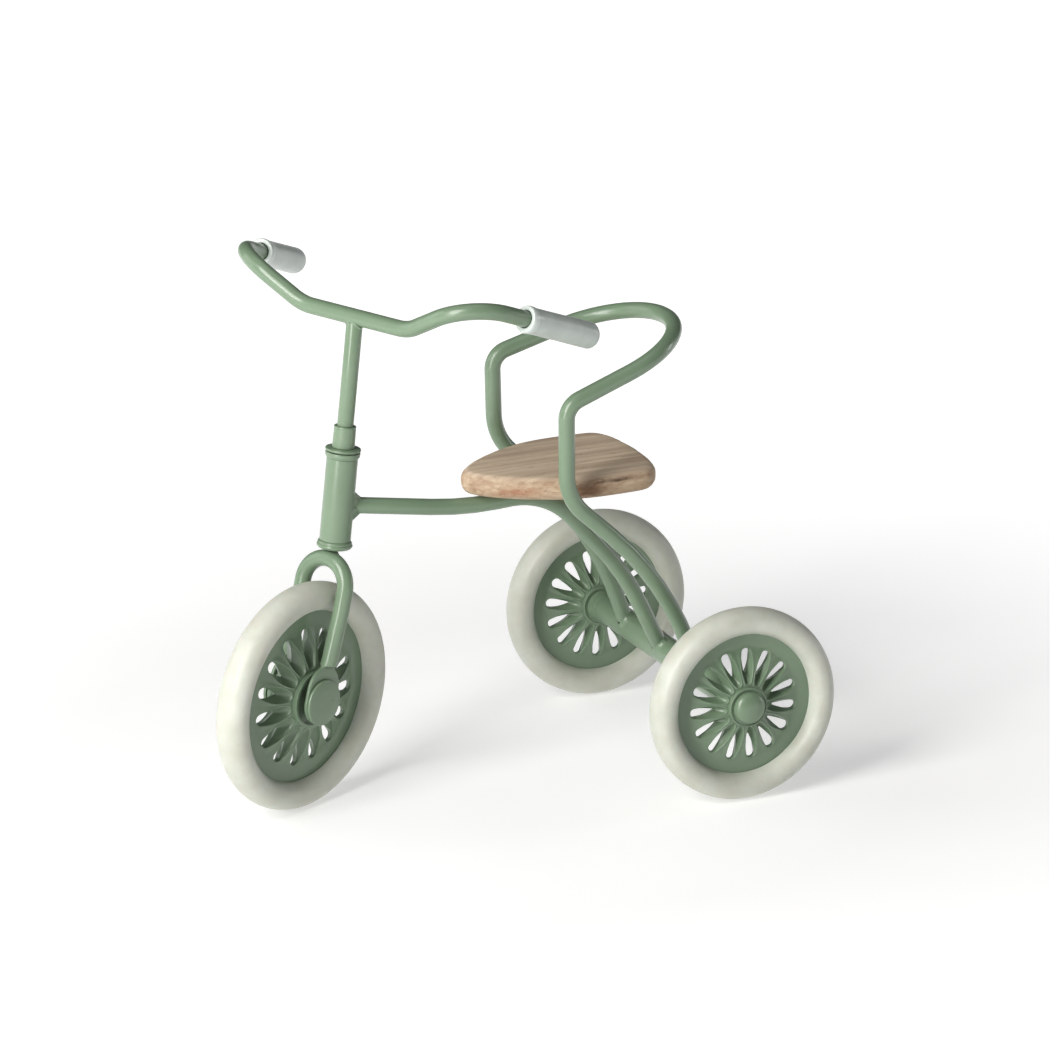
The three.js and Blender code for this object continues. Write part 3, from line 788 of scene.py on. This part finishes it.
head_bore = 2.25
head_tube = turned([
    (head_bore, TUBE_BOTTOM), (HEAD_TUBE_R, TUBE_BOTTOM, 0.1), (HEAD_TUBE_R, TUBE_TOP, 0.1),
    (head_bore, TUBE_TOP),
])
piece("head_tube_drawn", head_tube, HEAD, enamel, "frame", ["head_tube"])

pin_fit = 1.55
SPIGOT = 2.5  # how far a cup reaches into the head tube
cup_top = turned([
    (pin_fit, TUBE_TOP - SPIGOT), (head_bore - SEAM, TUBE_TOP - SPIGOT),
    (head_bore - SEAM, TUBE_TOP + 0.03), (2.95, TUBE_TOP + 0.03, 0.1),
    (3.0, TUBE_TOP + 0.25, 0.15), (3.17, TUBE_TOP + 0.45, 0.15), (3.2, CUP_TOP, 0.3),
    (2.7, CUP_TOP - 0.02, 0.15), (2.55, CUP_TOP - 0.2, 0.1), (pin_fit, CUP_TOP - 0.2),
])
piece("head_cup_top_flange", cup_top, HEAD, enamel, "frame", ["head_cup_top"])
cup_bottom = turned([
    (pin_fit, CUP_BOTTOM + 0.1, 0.1), (2.45, CUP_BOTTOM, 0.25), (2.95, CUP_BOTTOM + 0.08, 0.3),
    (3.3, CUP_BOTTOM + 0.5, 0.3), (3.22, CUP_BOTTOM + 0.82, 0.12), (3.06, CUP_BOTTOM + 0.9, 0.1),
    (3.14, CUP_BOTTOM + 1.15, 0.15), (2.98, CUP_BOTTOM + 1.38, 0.12),
    (2.9, TUBE_BOTTOM - 0.03, 0.08), (head_bore - SEAM, TUBE_BOTTOM - 0.03),
    (head_bore - SEAM, TUBE_BOTTOM + SPIGOT), (pin_fit, TUBE_BOTTOM + SPIGOT),
])
piece("head_cup_bottom_flange", cup_bottom, HEAD, enamel, "frame", ["head_cup_bottom"])


# ---------------------------------------------------------------- steering
BAR_CORNERS = [(0, -11.67, 0.18), (-3.0, -26.45, 8.44)]
GRIP_TIP = Vector((26.9, -33.3, -0.1))
GRIP_LENGTH = 17.8
GRIP_R = 2.45
GRIP_END = 1.6


def mirrored(p):
    return Vector((p[0], -p[1], p[2]))


bar_run = (Vector(BAR_CORNERS[1]) - GRIP_TIP).normalized()
bar_end = GRIP_TIP + bar_run * (GRIP_END + 0.2)
bar_left = [bar_end, Vector(BAR_CORNERS[1]), Vector(BAR_CORNERS[0])]
bar_path = bent_path(bar_left + [mirrored(p) for p in bar_left[::-1]], [8.24, 7.5, 7.5, 8.24])
piece("handlebar_wire", wire(bar_path), BAR, enamel, "steering", ["handlebar"])

grip_bore = WIRE_R + 0.12
grip_shape = turned([
    (grip_bore, 0.25, 0.0), (grip_bore + 0.12, 0.02, 0.12), (GRIP_R + 0.02, 0, 0.28),
    (GRIP_R + 0.06, 0.7, 0.5), (GRIP_R - 0.06, 2.4, 1.0), (GRIP_R, GRIP_LENGTH - 2.6, 1.0),
    (GRIP_R - 0.02, GRIP_LENGTH - 1.1, 1.2), (GRIP_R * 0.72, GRIP_LENGTH - 0.12, 1.0),
    (0.6, GRIP_LENGTH, 0.3), (0, GRIP_LENGTH),
    (0, GRIP_LENGTH - GRIP_END), (grip_bore, GRIP_LENGTH - GRIP_END),
])
grip_mouth = turned([
    (grip_bore - 0.02, 0.5), (grip_bore, 0.05, 0.1), (grip_bore + 0.2, -0.06, 0.1),
    (GRIP_R, -0.06, 0.25), (GRIP_R + 0.08, 0.6, 0.4), (GRIP_R + 0.02, 1.5, 0.3),
    (GRIP_R - 0.4, 1.5),
])
for side, place in (("left", Vector), ("right", mirrored)):
    tip = place(GRIP_TIP)
    mouth = place(GRIP_TIP + bar_run * GRIP_LENGTH)
    stand = (tip - mouth).to_track_quat("Z", "Y").to_matrix().to_4x4()
    spot = BAR @ Matrix.Translation(mouth) @ stand
    piece(f"grip_{side}_sleeve", grip_shape, spot, plastic, "steering", [f"grip_{side}"])
    # The mouth ring wears the paler copy: painted glow of light through the thin lip.
    piece(f"grip_{side}_mouth", grip_mouth, spot, painted_glow_plastic, "steering")

stem_bottom = FERRULE_TOP - 2.0 - BAR_C
piece("stem_wire", wire([Vector((0, 0, stem_bottom)), Vector((0, 0, -10.0)), Vector((0, 0, -0.6))]),
      BAR, enamel, "steering", ["stem_tube"])
stem_weld = weld((0, 0, -6), (0, 0, 1), (0, 0, 0), (0, 1, 0), WIRE_R, 0.3, 0.5, 15.0, WIRE_R - 0.02)
piece("weld_stem_bar", stem_weld, BAR, enamel, "steering")

ferrule = turned([
    (WIRE_R + 0.03, FERRULE_BOTTOM), (2.08, FERRULE_BOTTOM, 0.12), (2.0, FERRULE_TOP - 0.4, 0.15),
    (2.04, FERRULE_TOP - 0.2, 0.1), (1.98, FERRULE_TOP, 0.14), (WIRE_R + 0.03, FERRULE_TOP - 0.03),
])
piece("stem_ferrule_sleeve", ferrule, STEERING, enamel, "steering", ["stem_ferrule"])
washer = turned([
    (WIRE_R + 0.05, WASHER_BOTTOM), (3.2, WASHER_BOTTOM, 0.15), (3.27, WASHER_BOTTOM + 0.25, 0.12),
    (3.15, FERRULE_BOTTOM - 0.08, 0.15), (2.6, FERRULE_BOTTOM - 0.06, 0.1),
    (2.4, FERRULE_BOTTOM - 0.02, 0.1), (WIRE_R + 0.05, FERRULE_BOTTOM - 0.02),
])
piece("stem_washer_disc", washer, STEERING, enamel, "steering", ["stem_washer"])

# The fork is one wire: an arch, two legs, and ends pressed into flat round eyes.
ARCH_X = -1.3
LEG_SPREAD = 4.95
LEG_BEND = (-2.5, -53.6)
EYE_R = 4.1
EYE_RISE = 2.3  # the eye is stretched upwards by this much
EYE_HALF = 0.45
EYE_MIDDLE = 4.45
PRESS_TOP = 8.2  # above the axle, where the wire is still round
SHOULDER_TOP = 6.85
SHOULDER_FOOT = 6.4


def fork_leg_end():
    """Where the round wire ends, and the direction from there to the axle."""
    bend = Vector((LEG_BEND[0], -LEG_SPREAD, LEG_BEND[1]))
    run = (Vector((-HUB_RAKE, -EYE_MIDDLE, HUB_C)) - bend).normalized()
    reach = (bend.z - (HUB_C + PRESS_TOP)) / -run.z
    return bend, bend + run * reach


def pressed_eye(foot):
    """Sections of the wire's left end, from the round wire at foot down to the flat eye's tip."""
    hub = Vector((-HUB_RAKE, -EYE_MIDDLE, HUB_C))
    down = hub - foot
    length = down.length
    down.normalize()
    across = Vector((0, 1, 0)).cross(down).normalized()
    thick = down.cross(across).normalized()
    top = EYE_RISE + EYE_R
    stations = [PRESS_TOP - 0.12 * k for k in range(1, 18)]
    stations += [EYE_RISE + EYE_R * math.cos(math.radians(a)) for a in range(12, 91, 6)]
    stations += [EYE_R * math.cos(math.radians(a)) for a in range(90, 181, 6)]
    rings = []
    for s in stations:
        press = min(max((s - SHOULDER_FOOT) / (SHOULDER_TOP - SHOULDER_FOOT), 0.0), 1.0)
        press = press * press * (3 - 2 * press)
        half_t = EYE_HALF + (WIRE_R - EYE_HALF) * press
        beyond = max(s - EYE_RISE, 0.0) if s > 0 else -s
        flat = math.sqrt(max(EYE_R ** 2 - beyond ** 2, 0.0)) if s < top else 0.0
        neck = WIRE_R if s > 0 else 0.0
        soft = 0.5 * (1 - press) if s > EYE_RISE else 0.0
        half_w = (flat + neck + math.sqrt((flat - neck) ** 2 + soft ** 2)) / 2
        power = 2.0 + 3.5 * (1 - press)
        centre = hub - down * (s * length / PRESS_TOP)
        lean = min(max((s - SHOULDER_FOOT) / (PRESS_TOP - SHOULDER_FOOT), 0.0), 1.0)
        centre.y = -EYE_MIDDLE + (foot.y + EYE_MIDDLE) * lean ** 0.5
        ring = []
        for k in range(WIRE_SIDES):
            a = 2 * math.pi * k / WIRE_SIDES
            c, d = math.cos(a), math.sin(a)
            x = math.copysign(abs(c) ** (2 / power), c) * max(half_w, 0.02)
            y = math.copysign(abs(d) ** (2 / power), d) * half_t
            ring.append(centre + across * x + thick * y)
        rings.append(ring)
    return rings, across


def fork_shape(path, foot):
    """The whole wire as one skin, from one eye to the other."""
    eye, across = pressed_eye(foot)
    frames = frames_along(path, across)
    right_across = Vector((across.x, -across.y, across.z))
    tangent, u, v = frames[-1]
    twist = math.atan2(right_across.dot(v), right_across.dot(u))
    lengths = [0.0]
    for a, b in zip(path, path[1:]):
        lengths.append(lengths[-1] + (b - a).length)
    rings = eye[::-1]
    for p, (t, u, v), run in zip(path, frames, lengths):
        share = twist * run / lengths[-1]
        ring = []
        for k in range(WIRE_SIDES):
            a = share + 2 * math.pi * k / WIRE_SIDES * EYE_HAND
            ring.append(p + (u * math.cos(a) + v * math.sin(a)) * WIRE_R)
        rings.append(ring)
    rings += [[mirrored(p) for p in ring] for ring in eye]
    points, numbers = [], []
    for ring in rings:
        numbers.append(list(range(len(points), len(points) + len(ring))))
        points += ring
    faces = rings_to_faces(numbers)
    faces.append(numbers[0][::-1])
    faces.append(numbers[-1])
    return points, faces


leg_bend, leg_foot = fork_leg_end()
arch_left = [leg_foot, leg_bend, Vector((ARCH_X, -LEG_SPREAD, ARCH_C))]
arch_turn = LEG_SPREAD - 0.01
arch_path = bent_path(arch_left + [mirrored(p) for p in arch_left[::-1]],
                      [12, arch_turn, arch_turn, 12])
piece("fork_wire", fork_shape(arch_path, leg_foot), STEERING, enamel, "steering",
      ["fork"])
fork_weld = weld((0, 0, CUP_BOTTOM + 0.6), (0, 0, -1), (ARCH_X, 0, ARCH_C), (0, 1, 0), WIRE_R, 0.28,
                 0.4, 21.0, 1.2)
piece("weld_fork_pin", fork_weld, STEERING, enamel, "steering")

for side, turn in (("left", TO_LEFT), ("right", TO_RIGHT)):
    base = EYE_MIDDLE + EYE_HALF + SEAM
    cap = turned([
        (AXLE_BORE, base), (4.16, base, 0.1), (4.28, base + 0.28, 0.2), (4.18, base + 0.62, 0.3),
        (2.4, base + 0.76, 1.0), (0, base + 0.8), (0, base + 0.5), (AXLE_BORE, base + 0.5),
    ])
    piece(f"front_axle_cap_{side}_disc", cap, FRONT_HUB @ turn, enamel, "steering",
          [f"front_axle_cap_{side}"])


# ---------------------------------------------------------------- seat
def bezier(a, b, c, d, count):
    a, b, c, d = Vector(a), Vector(b), Vector(c), Vector(d)
    out = []
    for k in range(count):
        t = k / count
        near, far = a * (1 - t) ** 3 + b * 3 * t * (1 - t) ** 2, c * 3 * t ** 2 * (1 - t)
        out.append(near + far + d * t ** 3)
    return out


def seat_outline():
    half = bezier((-5.4, 0), (-5.8, 6.0), (-5.5, 13.0), (-10.6, 13.5), 26)
    half += bezier((-10.6, 13.5), (-15.0, 13.9), (-20.6, 14.0), (-24.8, 12.7), 22)
    half += bezier((-24.8, 12.7), (-31.5, 10.4), (-40.4, 4.2), (-40.4, 0), 30)
    return half + [Vector((-40.4, 0))] + [Vector((p.x, -p.y)) for p in half[:0:-1]]


PIT_LEVEL = 0.32  # noise above this makes a pit in the board's edge
SEAT_MIDDLE = Vector((-19.0, 0))  # the rings of the two faces shrink towards it
SEAT_SHARES = (0.85, 0.6, 0.35, 0.12, 0.0)


def seat_board():
    """The board: loops round its rounded edge, worn and pitted a little, then in to the middle."""
    outline = seat_outline()
    count = len(outline)
    inward = []
    for i, p in enumerate(outline):
        along = (outline[(i + 1) % count] - outline[i - 1]).normalized()
        inward.append(Vector((-along.y, along.x)))
    low, high = 1.95, 1.7  # edge rounding, underneath and on top
    levels = []
    for k in range(7):
        a = math.pi / 2 * k / 6
        levels.append((low * (1 - math.sin(a)), SEAT_BOTTOM + low * (1 - math.cos(a))))
    levels += [(0.0, 56.0), (0.0, 56.25)]
    for k in range(7):
        a = math.pi / 2 * k / 6
        levels.append((high * (1 - math.cos(a)), SEAT_TOP - high * (1 - math.sin(a))))
    points, rings = [], []
    for inset, z in levels:
        ring = []
        for p, n in zip(outline, inward):
            q = p + n * inset
            here = Vector((q.x, q.y, z))
            worn = noise.noise(here * 0.55) * 0.1 + noise.noise(here * 1.7) * 0.05
            grain_spot = Vector((q.x * 0.9, q.y * 2.2, z * 2.4)) + Vector((7, 3, 1))
            pit = max(0.0, noise.noise(grain_spot) - PIT_LEVEL)
            edge = 1.0 if 0.1 < z - SEAT_BOTTOM < SEAT_TOP - SEAT_BOTTOM - 0.1 else 0.0
            q = q + n * edge * (abs(worn) + pit * 0.55)
            ring.append(len(points))
            points.append(Vector((q.x, q.y, z)))
        rings.append(ring)
    for edge, z, first in ((rings[0], SEAT_BOTTOM, True), (rings[-1], SEAT_TOP, False)):
        for share in SEAT_SHARES:
            ring = []
            for number in edge if share else edge[:1]:
                q = SEAT_MIDDLE.lerp(points[number].to_2d(), share)
                ring.append(len(points))
                points.append(Vector((q.x, q.y, z)))
            if first:
                rings.insert(0, ring)
            else:
                rings.append(ring)
    return points, rings_to_faces(rings)


piece("seat_board_wood", seat_board(), CHASSIS, wood, "frame", ["seat_board"], 60)


# ---------------------------------------------------------------- camera, light and floor
VIEW_DEGREES = (-23.32, 17.741, -0.853)  # azimuth, elevation, roll
VIEW_OFFSET = (-26.497, 40.371, 1270.93)  # of the camera: right, up and back
LENS_MM = 235.0
SENSOR_MM = 36


def place_camera():
    """The view: from the rider's left and ahead, a long lens, rolled very slightly."""
    azimuth, elevation, roll = (math.radians(a) for a in VIEW_DEGREES)
    back = Vector((
        math.sin(azimuth) * math.cos(elevation),
        -math.cos(azimuth) * math.cos(elevation),
        math.sin(elevation),
    ))
    right = Vector((0, 0, 1)).cross(back).normalized()
    up = back.cross(right)
    right, up = (
        right * math.cos(roll) + up * math.sin(roll),
        up * math.cos(roll) - right * math.sin(roll),
    )
    target = Vector((AXLE_X, SIDE_SHIFT, 0))
    spot = target + right * VIEW_OFFSET[0] + up * VIEW_OFFSET[1] + back * VIEW_OFFSET[2]
    data = bpy.data.cameras.new("camera")
    data.sensor_width = SENSOR_MM
    data.lens = LENS_MM
    data.clip_start = 0.05
    data.clip_end = 20
    camera = bpy.data.objects.new("camera", data)
    rotation = Matrix((right, up, back)).transposed()
    camera.matrix_world = Matrix.Translation(spot * MM) @ rotation.to_4x4()
    bpy.context.collection.objects.link(camera)
    bpy.context.scene.camera = camera


def area_light(name, direction, distance, size, power, colour=(1, 1, 1)):
    """A soft panel, in metres and watts, aimed at a point just above the floor's origin."""
    data = bpy.data.lights.new(name, "AREA")
    data.shape = "RECTANGLE"
    data.size, data.size_y = size
    data.energy = power
    data.color = colour
    light = bpy.data.objects.new(name, data)
    away = Vector(direction).normalized()
    light.location = Vector((0, 0, 0.05)) + away * distance
    light.rotation_mode = "QUATERNION"
    light.rotation_quaternion = away.to_track_quat("Z", "Y")
    bpy.context.collection.objects.link(light)


place_camera()
bpy.context.scene.view_settings.view_transform = "Standard"
area_light("key", (-1.0, -0.5, 0.75), 0.7, (0.32, 0.4), 4.4, (1.0, 0.985, 0.96))
area_light("low_key", (-1.0, -0.6, 0.2), 0.7, (0.14, 0.3), 1.75, (1.0, 0.985, 0.96))
area_light("left_back", (-1.0, 0.6, 0.5), 0.8, (0.5, 0.5), 1.5)
area_light("top", (0.0, 0.0, 1.0), 0.7, (0.5, 0.5), 0.6)
area_light("right_strip", (1.0, -0.1, 0.16), 0.7, (0.07, 0.22), 0.5)

world = bpy.data.worlds.new("studio")
world.use_nodes = True
backdrop = world.node_tree.nodes["Background"]
backdrop.inputs["Color"].default_value = (0.95, 0.97, 1.0, 1)
backdrop.inputs["Strength"].default_value = 0.06
bpy.context.scene.world = world

FLOOR_HALF = 6.0  # metres
floor_mesh = bpy.data.meshes.new("floor")
floor_mesh.from_pydata(
    [(-FLOOR_HALF, -FLOOR_HALF, 0), (FLOOR_HALF, -FLOOR_HALF, 0), (FLOOR_HALF, FLOOR_HALF, 0),
     (-FLOOR_HALF, FLOOR_HALF, 0)], [], [(0, 1, 2, 3)])
floor_mesh.materials.append(floor_material())
floor = bpy.data.objects.new("floor", floor_mesh)
bpy.context.collection.objects.link(floor)
